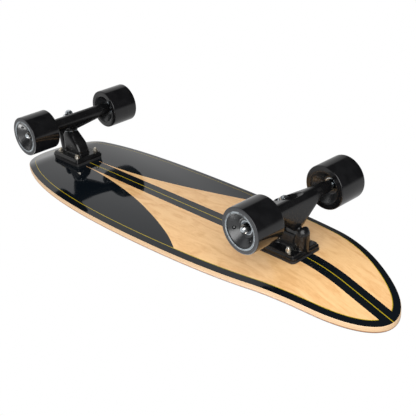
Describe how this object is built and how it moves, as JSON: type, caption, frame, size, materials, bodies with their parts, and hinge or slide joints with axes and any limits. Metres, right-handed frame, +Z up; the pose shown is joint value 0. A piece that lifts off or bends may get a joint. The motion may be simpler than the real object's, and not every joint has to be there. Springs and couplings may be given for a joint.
{
  "type": "surf skateboard",
  "caption": "Surf skateboard with a kicked, concave maple deck, a tall surf-style front truck, a standard rear truck and wide urethane wheels.",
  "frame": {"origin": "on the ground under the middle of the deck's length and width", "axes": "+X to the nose, +Y to the rider's left when facing the nose, +Z up; the board stands on its wheels at z = 0"},
  "size_m": [0.842, 0.2378, 0.1715],
  "materials": {
    "maple_deck": "clear gloss lacquer over maple with black panels",
    "grip": "coarse black grit",
    "truck_black": "semi-gloss black coat on cast aluminium",
    "rubber": "matt black",
    "bushing_urethane": "satin black urethane",
    "wheel_urethane": "glossy black urethane",
    "wheel_core": "satin black nylon",
    "bright_steel": "bright plated steel",
    "zinc_steel": "bright zinc plate"
  },
  "bodies": {
    "board": {"deck": "maple_deck", "grip_tape": "grip", "mounting_bolt_front_nose_left": "zinc_steel", "mounting_nut_front_nose_left": "zinc_steel", "mounting_bolt_front_nose_right": "zinc_steel", "mounting_nut_front_nose_right": "zinc_steel", "mounting_bolt_front_tail_left": "zinc_steel", "mounting_nut_front_tail_left": "zinc_steel", "mounting_bolt_front_tail_right": "zinc_steel", "mounting_nut_front_tail_right": "zinc_steel", "mounting_bolt_rear_nose_left": "zinc_steel", "mounting_nut_rear_nose_left": "zinc_steel", "mounting_bolt_rear_nose_right": "zinc_steel", "mounting_nut_rear_nose_right": "zinc_steel", "mounting_bolt_rear_tail_left": "zinc_steel", "mounting_nut_rear_tail_left": "zinc_steel", "mounting_bolt_rear_tail_right": "zinc_steel", "mounting_nut_rear_tail_right": "zinc_steel", "front_riser_pad": "rubber", "front_baseplate": "truck_black", "front_pivot_cup": "rubber", "front_kingpin": "bright_steel", "front_kingpin_nut": "bright_steel", "front_board_side_bushing": "bushing_urethane", "front_road_side_bushing": "bushing_urethane", "front_board_side_washer": "bright_steel", "front_road_side_washer": "bright_steel", "rear_riser_pad": "rubber", "rear_baseplate": "truck_black", "rear_pivot_cup": "rubber", "rear_kingpin": "bright_steel", "rear_kingpin_nut": "bright_steel", "rear_board_side_bushing": "bushing_urethane", "rear_road_side_bushing": "bushing_urethane", "rear_board_side_washer": "bright_steel", "rear_road_side_washer": "bright_steel"},
    "front_hanger_assembly": {"front_hanger": "truck_black", "front_axle": "bright_steel", "front_left_axle_nut": "bright_steel", "front_right_axle_nut": "bright_steel"},
    "rear_hanger_assembly": {"rear_hanger": "truck_black", "rear_axle": "bright_steel", "rear_left_axle_nut": "bright_steel", "rear_right_axle_nut": "bright_steel"},
    "front_left_wheel": {"front_left_wheel_tyre": "wheel_urethane", "front_left_wheel_core": "wheel_core", "front_left_inner_bearing": "bright_steel", "front_left_outer_bearing": "bright_steel"},
    "front_right_wheel": {"front_right_wheel_tyre": "wheel_urethane", "front_right_wheel_core": "wheel_core", "front_right_inner_bearing": "bright_steel", "front_right_outer_bearing": "bright_steel"},
    "rear_left_wheel": {"rear_left_wheel_tyre": "wheel_urethane", "rear_left_wheel_core": "wheel_core", "rear_left_inner_bearing": "bright_steel", "rear_left_outer_bearing": "bright_steel"},
    "rear_right_wheel": {"rear_right_wheel_tyre": "wheel_urethane", "rear_right_wheel_core": "wheel_core", "rear_right_inner_bearing": "bright_steel", "rear_right_outer_bearing": "bright_steel"}
  },
  "joints": [
    {"name": "front_steer", "type": "hinge", "parent": "board", "child": "front_hanger_assembly", "pos_m": [0.32, 0, 0.048], "axis": [0.682, 0, 0.7314], "range_deg": [-22, 22], "stiffness_Nm_per_rad": 25, "deforming": ["front_board_side_bushing", "front_road_side_bushing"]},
    {"name": "rear_steer", "type": "hinge", "parent": "board", "child": "rear_hanger_assembly", "pos_m": [-0.217, 0, 0.0525], "axis": [0.829, 0, -0.5592], "range_deg": [-15, 15], "stiffness_Nm_per_rad": 40, "deforming": ["rear_board_side_bushing", "rear_road_side_bushing"]},
    {"name": "front_left_spin", "type": "hinge", "parent": "front_hanger_assembly", "child": "front_left_wheel", "pos_m": [0.295, 0.0875, 0.035], "axis": [0, 1, 0], "continuous": true},
    {"name": "front_right_spin", "type": "hinge", "parent": "front_hanger_assembly", "child": "front_right_wheel", "pos_m": [0.295, -0.0875, 0.035], "axis": [0, 1, 0], "continuous": true},
    {"name": "rear_left_spin", "type": "hinge", "parent": "rear_hanger_assembly", "child": "rear_left_wheel", "pos_m": [-0.2465, 0.0875, 0.035], "axis": [0, 1, 0], "continuous": true},
    {"name": "rear_right_spin", "type": "hinge", "parent": "rear_hanger_assembly", "child": "rear_right_wheel", "pos_m": [-0.2465, -0.0875, 0.035], "axis": [0, 1, 0], "continuous": true}
  ]
}
